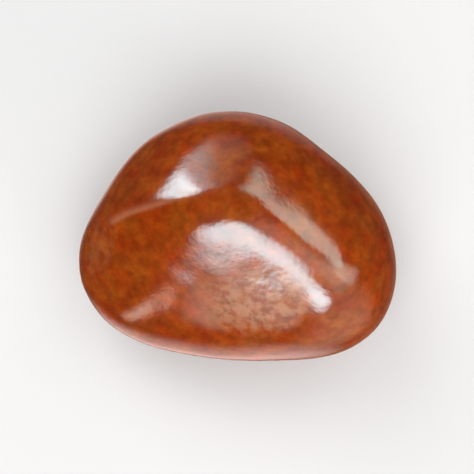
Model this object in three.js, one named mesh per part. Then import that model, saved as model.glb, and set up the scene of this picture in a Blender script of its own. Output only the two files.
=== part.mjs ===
// A freeze-dried strawberry under a thick, glossy coat of milk chocolate, lying on its side.
// Millimetres, +Z up. The tip points along -X and the calyx end along +X. The origin is on the
// surface that the piece rests on, under the middle of its box.
//
// The coat has no parts of its own, so the piece is one solid. Its form is a field: rounded lobes
// that melt into each other as the berry swells under the coat, and the broad flats that tumbling
// leaves while the coat sets. The solid is that field's zero surface, found along rays from the
// middle.

import * as THREE from 'three';
import { mergeVertices } from 'three/addons/utils/BufferGeometryUtils.js';

// Driving dimensions.
const LENGTH = 38.0; // tip to calyx end, along X
const WIDTH = 29.6; // along Y
const HEIGHT = 24.0; // along Z, from the foot to the top of the crest

// The foot is a worn flat with a few true corners, because a round body can't stand on its own curve.
const FOOT_MIDDLE = [0.6, -2.0];
const FOOT_REACH = [9.2, 4.4]; // from its middle out to its corners, along X and along Y
const FOOT_CORNERS = 6;
const FOOT_DEPTH = 0.7; // how much of the round underside is worn away
const FOOT_SLOPE = 0.05; // how fast the worn underside rises outside the foot
const FOOT_ROUNDING = 0.3; // height over which the worn underside runs out into the round side

const MELT = 1.5; // how far two lobes flow into each other
const BEADS = 6; // spheres strung along the path of each lobe
const FLAT_ROUNDING = 0.8; // radius with which a flat meets the round surface beside it

// Each lobe is a fat curved bead string: start, middle and end of its path, and its radius.
const LOBES = [
  { name: 'tip', path: [[-10.2, -3.5, -2.6], [-8.8, -2.7, -2.4], [-7.6, -1.9, -2.0]], radius: 9.5 },
  { name: 'cheek', path: [[-6.1, 1.5, -1.4], [-5.4, 3.3, -1.4], [-4.8, 4.9, -1.2]], radius: 9.1 },
  { name: 'crown', path: [[-2.6, 4.0, 1.4], [-0.4, 4.3, 1.8], [2.4, 3.8, 1.2]], radius: 10.8 },
  { name: 'belly', path: [[4.9, -1.0, -1.6], [6.1, -1.8, -1.6], [7.1, -2.8, -1.6]], radius: 11.8 },
  { name: 'heel', path: [[9.7, -5.8, -2.0], [10.1, -5.6, -2.0], [10.5, -5.0, -2.0]], radius: 7.6 },
  { name: 'underside', path: [[-8.4, -3.6, -3.0], [-3.9, -5.4, -3.2], [2.6, -6.4, -2.8]], radius: 9.3 },
  { name: 'ridge', path: [[-1.5, 4.6, 5.6], [5.0, 4.6, 6.8], [11.0, -4.4, 4.6]], radius: 6.3 },
];

// Each flat faces the way that azimuth and elevation give, in degrees, at a distance from the middle.
const FLATS = [
  { name: 'left', azimuth: 209, elevation: 50, distance: 11.5 },
  { name: 'front upper', azimuth: 253, elevation: 64, distance: 10.5 },
  { name: 'front lower', azimuth: 244, elevation: 50, distance: 10.1 },
  { name: 'right', azimuth: 38, elevation: 62, distance: 12.8 },
  { name: 'back', azimuth: 100, elevation: 58, distance: 12.9 },
  { name: 'back left', azimuth: 141, elevation: 34, distance: 14.3 },
  { name: 'shoulder', azimuth: 62, elevation: 38, distance: 14.3 },
  { name: 'bed', azimuth: 0, elevation: -90, distance: 11.7 },
];

const MESH_DETAIL = 17; // cuts across each edge of the icosahedron that the mesh starts from
const SEARCH_REACH = 26; // a ray this long is outside the piece in every direction
const SEARCH_STEPS = 40; // halvings of the ray, so the surface is found to well under a micron

function direction(azimuth, elevation) {
  const a = THREE.MathUtils.degToRad(azimuth);
  const e = THREE.MathUtils.degToRad(elevation);
  return new THREE.Vector3(Math.cos(a) * Math.cos(e), Math.sin(a) * Math.cos(e), Math.sin(e));
}

// The centres of a lobe's beads, evenly along its path's parameter.
function beadCentres(path) {
  const curve = new THREE.QuadraticBezierCurve3(...path.map((p) => new THREE.Vector3(...p)));
  return Array.from({ length: BEADS }, (_, i) => curve.getPoint((i + 0.5) / BEADS));
}

const lobes = LOBES.map((lobe) => ({ radius: lobe.radius, centres: beadCentres(lobe.path) }));
const flats = FLATS.map((flat) => ({
  distance: flat.distance,
  normal: direction(flat.azimuth, flat.elevation),
}));

// Roughly the distance to the surface of the melted lobes, negative inside.
function lobeField(point) {
  let sum = 0;
  for (const { radius, centres } of lobes) {
    for (const centre of centres) {
      sum += Math.exp((radius - point.distanceTo(centre)) / MELT) / BEADS;
    }
  }
  return -MELT * Math.log(sum);
}

function field(point) {
  let sum = Math.exp(lobeField(point) / FLAT_ROUNDING);
  for (const { normal, distance } of flats) {
    sum += Math.exp((point.dot(normal) - distance) / FLAT_ROUNDING);
  }
  return FLAT_ROUNDING * Math.log(sum);
}

// The point where a ray from the middle leaves the piece.
function surfacePoint(ray) {
  let inside = 0;
  let outside = SEARCH_REACH;
  const point = new THREE.Vector3();
  for (let step = 0; step < SEARCH_STEPS; step++) {
    const middle = (inside + outside) / 2;
    if (field(point.copy(ray).multiplyScalar(middle)) < 0) inside = middle;
    else outside = middle;
  }
  return point.copy(ray).multiplyScalar(inside);
}

// The foot's corners, anticlockwise from above.
const footCorners = Array.from({ length: FOOT_CORNERS }, (_, i) => {
  const angle = (2 * Math.PI * i) / FOOT_CORNERS;
  return new THREE.Vector2(
    FOOT_MIDDLE[0] + FOOT_REACH[0] * Math.cos(angle),
    FOOT_MIDDLE[1] + FOOT_REACH[1] * Math.sin(angle),
  );
});

// How high the worn underside is over a point: nothing on the foot, and a gentle slope round it.
function wornHeight(point) {
  let outside = 0;
  footCorners.forEach((corner, i) => {
    const side = footCorners[(i + 1) % FOOT_CORNERS].clone().sub(corner).normalize();
    const away = point.x - corner.x;
    const along = point.y - corner.y;
    outside = Math.max(outside, away * side.y - along * side.x);
  });
  return FOOT_SLOPE * outside;
}

// Sets a point of the round body on the worn underside, if it reaches below it.
function wear(point) {
  const worn = wornHeight(point);
  const over = (point.z - FOOT_DEPTH - worn) / FOOT_ROUNDING;
  if (over >= 1) point.z -= FOOT_DEPTH;
  else point.z = worn + (FOOT_ROUNDING * Math.max(0, over + 1) ** 2) / 4;
}

// Moves the vertex nearest to each corner of the foot onto it.
function setCorners(position) {
  for (const corner of footCorners) {
    let nearest = 0;
    let least = Infinity;
    for (let i = 0; i < position.count; i++) {
      const distance = Math.hypot(
        position.getX(i) - corner.x, position.getY(i) - corner.y, position.getZ(i),
      );
      if (distance < least) [least, nearest] = [distance, i];
    }
    position.setXYZ(nearest, corner.x, corner.y, 0);
  }
}

function coatGeometry() {
  const ball = new THREE.IcosahedronGeometry(1, MESH_DETAIL);
  ball.deleteAttribute('normal');
  ball.deleteAttribute('uv');
  const geometry = mergeVertices(ball);
  const position = geometry.getAttribute('position');
  const vertex = new THREE.Vector3();
  for (let i = 0; i < position.count; i++) {
    vertex.fromBufferAttribute(position, i).normalize();
    position.setXYZ(i, ...surfacePoint(vertex));
  }

  // Fit the round body to the driving dimensions, then wear its underside away.
  geometry.computeBoundingBox();
  const size = geometry.boundingBox.getSize(new THREE.Vector3());
  const centre = geometry.boundingBox.getCenter(new THREE.Vector3());
  const scale = new THREE.Vector3(LENGTH, WIDTH, HEIGHT + FOOT_DEPTH).divide(size);
  for (let i = 0; i < position.count; i++) {
    vertex.fromBufferAttribute(position, i).sub(centre).multiply(scale);
    vertex.z += (HEIGHT + FOOT_DEPTH) / 2;
    wear(vertex);
    position.setXYZ(i, ...vertex);
  }
  setCorners(position);
  geometry.computeVertexNormals();
  return geometry;
}

function coatedStrawberry() {
  const milkChocolate = new THREE.MeshStandardMaterial({
    color: 0x8a4a24,
    roughness: 0.25,
    metalness: 0,
  });
  const mesh = new THREE.Mesh(coatGeometry(), milkChocolate);
  mesh.name = 'coated_strawberry';
  return mesh;
}

const piece = new THREE.Group();
piece.add(coatedStrawberry());

export default piece;
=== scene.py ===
"""A chocolate-covered freeze-dried strawberry on a pale floor, seen from straight above.

The coat is the frame's solid, subdivided and smoothed, with the relief of set chocolate worked into
it: broad swells, dimples and orange peel, a lip where the coat folded over, and patches that were
rubbed in the drum. Everything is in metres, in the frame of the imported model.
"""

import math

import bmesh
import bpy
import numpy as np
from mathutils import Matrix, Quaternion, Vector, noise


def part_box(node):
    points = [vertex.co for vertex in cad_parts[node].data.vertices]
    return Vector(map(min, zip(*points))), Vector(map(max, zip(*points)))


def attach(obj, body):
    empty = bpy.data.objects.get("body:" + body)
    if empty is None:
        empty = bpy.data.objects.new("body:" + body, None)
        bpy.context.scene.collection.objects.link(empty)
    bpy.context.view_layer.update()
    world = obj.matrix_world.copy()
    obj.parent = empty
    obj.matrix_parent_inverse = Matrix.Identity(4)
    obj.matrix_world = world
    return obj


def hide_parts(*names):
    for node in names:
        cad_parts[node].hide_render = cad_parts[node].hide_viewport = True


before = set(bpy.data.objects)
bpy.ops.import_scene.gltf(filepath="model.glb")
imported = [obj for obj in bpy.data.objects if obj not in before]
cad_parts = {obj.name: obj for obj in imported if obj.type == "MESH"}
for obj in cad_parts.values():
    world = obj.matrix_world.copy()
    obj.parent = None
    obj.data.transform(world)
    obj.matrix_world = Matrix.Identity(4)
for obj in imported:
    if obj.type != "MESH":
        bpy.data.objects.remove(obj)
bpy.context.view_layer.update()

NODE = "coated_strawberry"
MM = 0.001
LOW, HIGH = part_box(NODE)
CENTRE = (LOW + HIGH) / 2
LENGTH = HIGH.x - LOW.x

# How the solid's facets are melted away.
WELD_DISTANCE = 0.001 * MM
SUBDIVISIONS = 2
SMOOTHING_ROUNDS = 20
SMOOTHING_FACTOR = 0.5

# Ripples of the set coat: height and wavelength in millimetres, the seed of the noise, and how much
# of it there is off the rubbed patches and on them.
RIPPLES = {
    "swell": (0.11, 7.5, 1, 1.0, 1.0),
    "dimples": (0.045, 3.2, 3, 1.0, 0.7),
    "orange peel": (0.010, 1.3, 2, 0.5, 0.7),
    "grain": (0.011, 0.65, 7, 0.0, 1.0),
}
SEED_STEP = Vector((17.3, 5.1, 9.7))  # how far apart two seeds look at the noise, in wavelengths
RELIEF_START = (0.3 * MM, 2.5 * MM)  # the heights over which the relief fades in above the foot

# The lip of the coat, seen from above in shares of the length: from the tip, under the small bright
# spot and along the crest. It is steep towards the front and gentle behind.
LIP_PATH = [(-0.44, 0.01), (-0.32, 0.07), (-0.18, 0.11), (-0.03, 0.135), (0.09, 0.08), (0.22, -0.03)]
LIP_HEIGHT = 0.20 * MM
LIP_WIDTH = 1.1 * MM
LIP_STEEPNESS = 0.45  # the width of its front as a share of its back's
LIP_START = (0.0, 0.12)  # where it rises, as shares of the path
LIP_END = (0.5, 1.0)  # and where it dies away
LIP_BOTTOM = (CENTRE.z, CENTRE.z + 2 * MM)  # the heights over which it fades in
PAINTED_LIP_HIGHLIGHT_END = (-0.22 * LENGTH, -0.06 * LENGTH)  # along X, where the painted highlight on its edge fades
PAINTED_LIP_HIGHLIGHT_SHARPNESS = 10  # the higher, the narrower that edge is

# The rubbed patch on the front, seen from above: its middle, its half width and half depth, the
# shares of these between which it fades, and how ragged it is, as a share of them.
RUBBED_MIDDLE = (0.06 * LENGTH, -0.19 * LENGTH)
RUBBED_REACH = (0.17 * LENGTH, 0.10 * LENGTH)
RUBBED_FADE = (0.6, 1.25)
RUBBED_RAGGEDNESS = 0.35
RUBBED_NOISE = (4 * MM, 11)  # wavelength and seed of its ragged edge
RUBBED_BOTTOM = CENTRE.z - 2 * MM  # the height at which it stops

# Fainter patches lie by chance on all sides: the wavelength and seed of the noise that places them,
# its values between which they fade in, and their strength.
CHANCE_NOISE = (9 * MM, 6)
CHANCE_FADE = (0.30, 0.5)
CHANCE_STRENGTH = 0.2

# Linear colours. Each kind of spot on the coat has a size in millimetres, a contrast, the share of
# its colour at its middle, and that colour.
DARK_BROWN = (0.22, 0.020, 0.001)
ORANGE_BROWN = (0.42, 0.045, 0.001)
TAN_BROWN = (0.37, 0.086, 0.006)
SHADE_BROWN = (0.09, 0.010, 0.001)
FINE_GRAIN = (0.5, 2.0)
SPOTS = [
    (9.0, 2.4, 1.0, ORANGE_BROWN),
    (2.6, 2.8, 0.8, TAN_BROWN),
    (1.6, 3.2, 0.5, SHADE_BROWN),
    (*FINE_GRAIN, 0.25, SHADE_BROWN),
]

# Bloom is the pale film on rubbed chocolate. It is in dots on the patches, with a size in millimetres
# and a contrast, where the pale colour is partly bloom and partly painted highlight speckle, and
# along the lip's edge, where it is a painted highlight.
PALE_BLOOM_AND_HIGHLIGHT = (0.50, 0.24, 0.13)
BLOOM_AND_HIGHLIGHT_DOTS = (1.1, 5.0)
BLOOM_AND_HIGHLIGHT_IN_DOTS = 0.45
# The share of the pale colour painted along the lip's edge as a highlight.
PAINTED_HIGHLIGHT_ON_LIP = 0.35

# The gloss of the coat.
REFRACTIVE_INDEX = 1.55
ROUGHNESS = (0.11, 0.16)  # off the rubbed patches and on them
BUMP_STRENGTH = 0.25
BUMP_DEPTH = 0.025 * MM

FLOOR_SIZE = 4
FLOOR_GREY = 0.68
FLOOR_ROUGHNESS = 0.8

# The tints of the lights.
COOL = (0.66, 0.94, 1.0)
NEUTRAL = (0.75, 1.0, 0.88)
WARM = (1.0, 0.78, 0.62)
WHITE = (1, 1, 1)

# The bright shapes in the gloss. Each reflector has the azimuth and elevation of its middle, its
# width, height and roll, all in degrees, its radiance, the share of it that fades at its rim, and
# its tint.
REFLECTORS = {
    "main": (249, 43, 62, 28, 56, 15.0, 0.65, COOL),
    "tail": (275, 31, 40, 22, -52, 17.5, 0.75, COOL),
    "glow": (254, 17, 30, 32, 0, 2.4, 0.8, NEUTRAL),
    "patch": (233, 3, 12, 28, -22, 5.5, 0.8, WARM),
    "small": (142, 24, 54, 46, 0, 14.5, 0.6, COOL),
    "halo": (120, 23, 44, 34, 0, 4.6, 0.8, COOL),
    "veil": (98, 16, 42, 32, 0, 0.8, 0.9, NEUTRAL),
    "strip": (17, 45, 52, 27, -5, 5.6, 0.6, NEUTRAL),
    "strip start": (60, 35, 44, 18, -15, 5.2, 0.7, NEUTRAL),
    "strip end": (342, 32, 40, 54, 0, 3.8, 0.7, NEUTRAL),
    "crest": (316, 50, 60, 70, 0, 2.6, 0.9, NEUTRAL),
}

# The lamps that light the floor and the colour of the coat, described as the reflectors are.
LAMPS = {
    "key": (257, 50, 50, 50, 0, 2.3, 0, WHITE),
    "fill": (40, 45, 50, 50, 0, 1.0, 0, WHITE),
    "back": (125, 40, 40, 40, 0, 2.8, 0, WHITE),
    "side": (314, 15, 36, 28, 0, 4.0, 0, WHITE),
    "overhead": (0, 90, 80, 80, 0, 0.95, 0, WHITE),
}
LIGHT_DISTANCE = 0.7
LIGHT_ROUNDNESS = 3  # 2 is an ellipse, and more is closer to a rectangle

# What the gloss shows near the horizon and below it: azimuth and elevation of the middle of each
# glow, the angle from there at which it ends, and its colour.
LOW_GLOWS = [
    (252, -42, 34, (1.9, 1.6, 1.5)),
    (135, -72, 18, (0.5, 0.42, 0.4)),
    (85, -45, 30, (0.45, 0.4, 0.4)),
    (302, -4, 42, (1.2, 0.9, 0.65)),
    (0, -90, 50, (0.3, 0.13, 0.08)),
]
GLOW_CORE = 0.2  # the share of that angle within which a glow is full
AMBIENT = (0.04, 0.04, 0.04)

LENS = 120  # the focal length in millimetres, long enough for a flat perspective
IMAGE_SHARE = 0.68  # the length of the piece as a share of the image's width


def smoothstep(low, high, value):
    t = np.clip((value - low) / (high - low), 0, 1)
    return t * t * (3 - 2 * t)


def direction(azimuth, elevation):
    a, e = math.radians(azimuth), math.radians(elevation)
    return Vector((math.cos(a) * math.cos(e), math.sin(a) * math.cos(e), math.sin(e)))


def fine_body():
    """The frame's solid with its facets melted away."""
    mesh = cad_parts[NODE].data.copy()
    solid = bmesh.new()
    solid.from_mesh(mesh)
    bmesh.ops.remove_doubles(solid, verts=solid.verts, dist=WELD_DISTANCE)
    solid.to_mesh(mesh)
    solid.free()
    body = bpy.data.objects.new("chocolate_coat", mesh)
    bpy.context.collection.objects.link(body)
    subdivision = body.modifiers.new("subdivision", "SUBSURF")
    subdivision.levels = subdivision.render_levels = SUBDIVISIONS
    smooth = body.modifiers.new("smooth", "SMOOTH")
    smooth.factor = SMOOTHING_FACTOR
    smooth.iterations = SMOOTHING_ROUNDS
    evaluated = body.evaluated_get(bpy.context.evaluated_depsgraph_get())
    body.data = bpy.data.meshes.new_from_object(evaluated)
    body.modifiers.clear()
    body.data.name = "chocolate_coat"
    return body


def vertex_array(mesh, attribute):
    values = np.empty(len(mesh.vertices) * 3, np.float32)
    mesh.vertices.foreach_get(attribute, values)
    return values.reshape(-1, 3).astype(float)


def store(mesh, name, values):
    """Keeps a value for each vertex, for the material to read."""
    mesh.attributes.new(name, "FLOAT", "POINT").data.foreach_set("value", values.astype(np.float32))


def ripple(points, wavelength, seed):
    """Smooth noise from -1 to 1 at each point, with the given distance between its hills."""
    offset = SEED_STEP * seed
    return np.array([noise.noise(Vector(p) / wavelength + offset) for p in points])


def lip(points):
    """How much each point is on the fold along LIP_PATH, from 0 to 1."""
    path = np.array(LIP_PATH) * LENGTH
    nearest = np.full(len(points), np.inf)
    side = np.zeros(len(points))
    along = np.zeros(len(points))
    for i, (start, end) in enumerate(zip(path, path[1:])):
        step = end - start
        offset = points[:, :2] - start
        t = np.clip(offset @ step / (step @ step), 0, 1)
        away = offset - t[:, None] * step
        distance = np.hypot(*away.T)
        closer = distance < nearest
        nearest[closer] = distance[closer]
        side[closer] = np.sign(step[0] * away[:, 1] - step[1] * away[:, 0])[closer]
        along[closer] = ((i + t) / (len(path) - 1))[closer]
    width = np.where(side > 0, LIP_WIDTH, LIP_WIDTH * LIP_STEEPNESS)
    profile = np.exp(-(nearest / width) ** 2 / 2)
    ends = smoothstep(*LIP_START, along) * (1 - smoothstep(*LIP_END, along))
    upper = smoothstep(*LIP_BOTTOM, points[:, 2])
    return profile * ends * upper


def painted_lip_highlight(points, fold):
    """How much each point is on the painted highlight along the lip's edge, from 0 to 1."""
    return fold ** PAINTED_LIP_HIGHLIGHT_SHARPNESS * (1 - smoothstep(*PAINTED_LIP_HIGHLIGHT_END, points[:, 0]))


def rubbed_patches(points):
    """1 where the coat was rubbed while it tumbled in the drum, 0 elsewhere."""
    x = (points[:, 0] - RUBBED_MIDDLE[0]) / RUBBED_REACH[0]
    y = (points[:, 1] - RUBBED_MIDDLE[1]) / RUBBED_REACH[1]
    ragged = RUBBED_RAGGEDNESS * ripple(points, *RUBBED_NOISE)
    front = 1 - smoothstep(*RUBBED_FADE, np.hypot(x, y) + ragged)
    front *= points[:, 2] > RUBBED_BOTTOM
    others = smoothstep(*CHANCE_FADE, ripple(points, *CHANCE_NOISE))
    return np.maximum(front, CHANCE_STRENGTH * others)


def relief(points, rubbed, fold):
    """How far the set chocolate stands out from the smooth body at each point."""
    height = LIP_HEIGHT * fold
    for amplitude, wavelength, seed, off_patch, on_patch in RIPPLES.values():
        share = off_patch + (on_patch - off_patch) * rubbed
        height += amplitude * MM * ripple(points, wavelength * MM, seed) * share
    return height


def coat():
    """The smooth body with its relief and its material, in place of the frame's solid."""
    body = fine_body()
    mesh = body.data
    points = vertex_array(mesh, "co")
    normals = vertex_array(mesh, "normal")
    rubbed = rubbed_patches(points)
    fold = lip(points)
    above_foot = smoothstep(*RELIEF_START, points[:, 2])
    points += normals * (relief(points, rubbed, fold) * above_foot)[:, None]
    mesh.vertices.foreach_set("co", points.astype(np.float32).ravel())
    store(mesh, "rubbed", rubbed)
    # The painted highlight along the lip's edge, for the material to read.
    store(mesh, "painted_lip_highlight", painted_lip_highlight(points, fold))
    mesh.shade_smooth()
    mesh.update()
    mesh.materials.clear()
    mesh.materials.append(milk_chocolate())
    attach(body, "root")
    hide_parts(NODE)


def node(tree, kind, *values, **settings):
    """The output of a new node with its settings, and its inputs set to values or linked."""
    new = tree.nodes.new(kind)
    for name, value in settings.items():
        setattr(new, name, value)
    sockets = [socket for socket in new.inputs if socket.enabled]
    for socket, value in zip(sockets, values):
        if isinstance(value, bpy.types.NodeSocket):
            tree.links.new(value, socket)
        else:
            socket.default_value = value
    return next(socket for socket in new.outputs if socket.enabled)


def maths(tree, operation, *values):
    return node(tree, "ShaderNodeMath", *values, operation=operation)


def attribute(tree, name):
    return node(tree, "ShaderNodeAttribute", attribute_name=name).node.outputs["Fac"]


def speckle(tree, place, size, contrast):
    """Noise with hills of a size in millimetres, stretched round 0.5 by the contrast."""
    octaves, octave_strength = 3, 0.55
    cloud = node(tree, "ShaderNodeTexNoise", place, 1 / (size * MM), octaves, octave_strength)
    return node(tree, "ShaderNodeMapRange", cloud, 0.5 - 0.5 / contrast, 0.5 + 0.5 / contrast)


def stain(tree, colour, where, share, stained):
    """The colour with a share of another in it, where a value from 0 to 1 says."""
    return node(tree, "ShaderNodeMix", maths(tree, "MULTIPLY", where, share), colour, (*stained, 1),
                data_type="RGBA")


def mottled_colour(tree, place, rubbed):
    """Dark brown under spots of other browns, with pale dots where it was rubbed, partly bloom and
    partly painted highlight speckle, and a painted highlight along the lip's edge.
    """
    colour = (*DARK_BROWN, 1)
    for size, contrast, share, stained in SPOTS:
        colour = stain(tree, colour, speckle(tree, place, size, contrast), share, stained)
    # Pale dots on the rubbed patches: partly bloom, partly painted highlight speckle.
    bloom_and_highlight_dots = maths(tree, "MULTIPLY", rubbed, speckle(tree, place, *BLOOM_AND_HIGHLIGHT_DOTS))
    colour = stain(tree, colour, bloom_and_highlight_dots, BLOOM_AND_HIGHLIGHT_IN_DOTS, PALE_BLOOM_AND_HIGHLIGHT)
    # A painted highlight along the lip's edge, in the pale colour.
    return stain(tree, colour, attribute(tree, "painted_lip_highlight"), PAINTED_HIGHLIGHT_ON_LIP, PALE_BLOOM_AND_HIGHLIGHT)


def milk_chocolate():
    """Mottled chocolate under a gloss that is a little rougher where it was rubbed."""
    material = bpy.data.materials.new("milk_chocolate")
    material.use_nodes = True
    tree = material.node_tree
    shader = tree.nodes["Principled BSDF"]
    place = tree.nodes.new("ShaderNodeTexCoord").outputs["Object"]
    rubbed = attribute(tree, "rubbed")
    tree.links.new(mottled_colour(tree, place, rubbed), shader.inputs["Base Color"])
    rough = node(tree, "ShaderNodeMapRange", rubbed, 0, 1, *ROUGHNESS)
    tree.links.new(rough, shader.inputs["Roughness"])
    shader.inputs["IOR"].default_value = REFRACTIVE_INDEX

    bump = tree.nodes.new("ShaderNodeBump")
    bump.inputs["Strength"].default_value = BUMP_STRENGTH
    bump.inputs["Distance"].default_value = BUMP_DEPTH
    tree.links.new(speckle(tree, place, *FINE_GRAIN), bump.inputs["Height"])
    tree.links.new(bump.outputs["Normal"], shader.inputs["Normal"])
    return material


def floor():
    """The pale floor. The gloss shows LOW_GLOWS in its place."""
    bpy.ops.mesh.primitive_plane_add(size=FLOOR_SIZE)
    plane = bpy.context.object
    plane.name = "floor"
    plane.visible_glossy = False
    material = bpy.data.materials.new("floor")
    material.use_nodes = True
    shader = material.node_tree.nodes["Principled BSDF"]
    shader.inputs["Base Color"].default_value = (FLOOR_GREY, FLOOR_GREY, FLOOR_GREY, 1)
    shader.inputs["Roughness"].default_value = FLOOR_ROUGHNESS
    shader.inputs["Specular IOR Level"].default_value = 0
    plane.data.materials.append(material)


def soften(light, fade):
    """Rounds a light's corners and lets it fade towards its rim, over the given share of it."""
    light.use_nodes = True
    tree = light.node_tree
    place = tree.nodes.new("ShaderNodeNewGeometry").outputs["Parametric"]
    across = node(tree, "ShaderNodeVectorMath", place, (2, 2, 0), (-1, -1, 0), operation="MULTIPLY_ADD")
    across = node(tree, "ShaderNodeVectorMath", across, operation="ABSOLUTE")
    across = node(tree, "ShaderNodeSeparateXYZ", across).node
    sides = [maths(tree, "POWER", across.outputs[axis], LIGHT_ROUNDNESS) for axis in "XY"]
    from_middle = maths(tree, "POWER", maths(tree, "ADD", *sides), 1 / LIGHT_ROUNDNESS)
    strength = node(tree, "ShaderNodeMapRange", from_middle, 1 - fade, 1, 1, 0,
                    interpolation_type="SMOOTHSTEP")
    tree.links.new(strength, tree.nodes["Emission"].inputs["Strength"])


def softbox(name, azimuth, elevation, width, height, roll, radiance, fade, tint):
    """A rectangular light that faces the piece. Its width and height are angles, in degrees."""
    out = direction(azimuth, elevation)
    light = bpy.data.lights.new(name, "AREA")
    light.shape = "RECTANGLE"
    light.size = 2 * LIGHT_DISTANCE * math.tan(math.radians(width / 2))
    light.size_y = 2 * LIGHT_DISTANCE * math.tan(math.radians(height / 2))
    light.energy = radiance * math.pi * light.size * light.size_y
    light.color = tint
    if fade:
        soften(light, fade)
    lamp = bpy.data.objects.new(name, light)
    bpy.context.collection.objects.link(lamp)
    lamp.location = CENTRE + out * LIGHT_DISTANCE
    turn = Quaternion(out, math.radians(roll)) @ out.to_track_quat("Z", "Y")
    lamp.rotation_euler = turn.to_euler()
    lamp.visible_camera = False
    return lamp


def surroundings():
    """Dim light from all round, and the glows that the gloss shows near the horizon and below it."""
    world = bpy.data.worlds.new("world")
    bpy.context.scene.world = world
    world.use_nodes = True
    tree = world.node_tree
    toward = tree.nodes.new("ShaderNodeTexCoord").outputs["Generated"]
    light = AMBIENT
    for azimuth, elevation, reach, colour in LOW_GLOWS:
        cosine = node(tree, "ShaderNodeVectorMath", toward, direction(azimuth, elevation),
                      operation="DOT_PRODUCT")
        edge = math.cos(math.radians(reach))
        core = math.cos(math.radians(GLOW_CORE * reach))
        share = node(tree, "ShaderNodeMapRange", cosine, edge, core, 0, 1,
                     interpolation_type="SMOOTHSTEP")
        light = node(tree, "ShaderNodeVectorMath", share, colour, light, operation="MULTIPLY_ADD")
    tree.links.new(light, tree.nodes["Background"].inputs["Color"])


def studio():
    """All the lights. The reflectors show in the gloss alone, and the lamps light all but the gloss."""
    surroundings()
    for name, setting in REFLECTORS.items():
        softbox(name, *setting).visible_diffuse = False
    for name, setting in LAMPS.items():
        softbox(name, *setting).visible_glossy = False
    bpy.context.scene.view_settings.view_transform = "Standard"


def camera():
    lens = bpy.data.cameras.new("camera")
    lens.lens = LENS
    eye = bpy.data.objects.new("camera", lens)
    bpy.context.collection.objects.link(eye)
    width_shown = LENGTH / IMAGE_SHARE
    eye.location = CENTRE + Vector((0, 0, width_shown * lens.lens / lens.sensor_width))
    bpy.context.scene.camera = eye


coat()
floor()
studio()
camera()
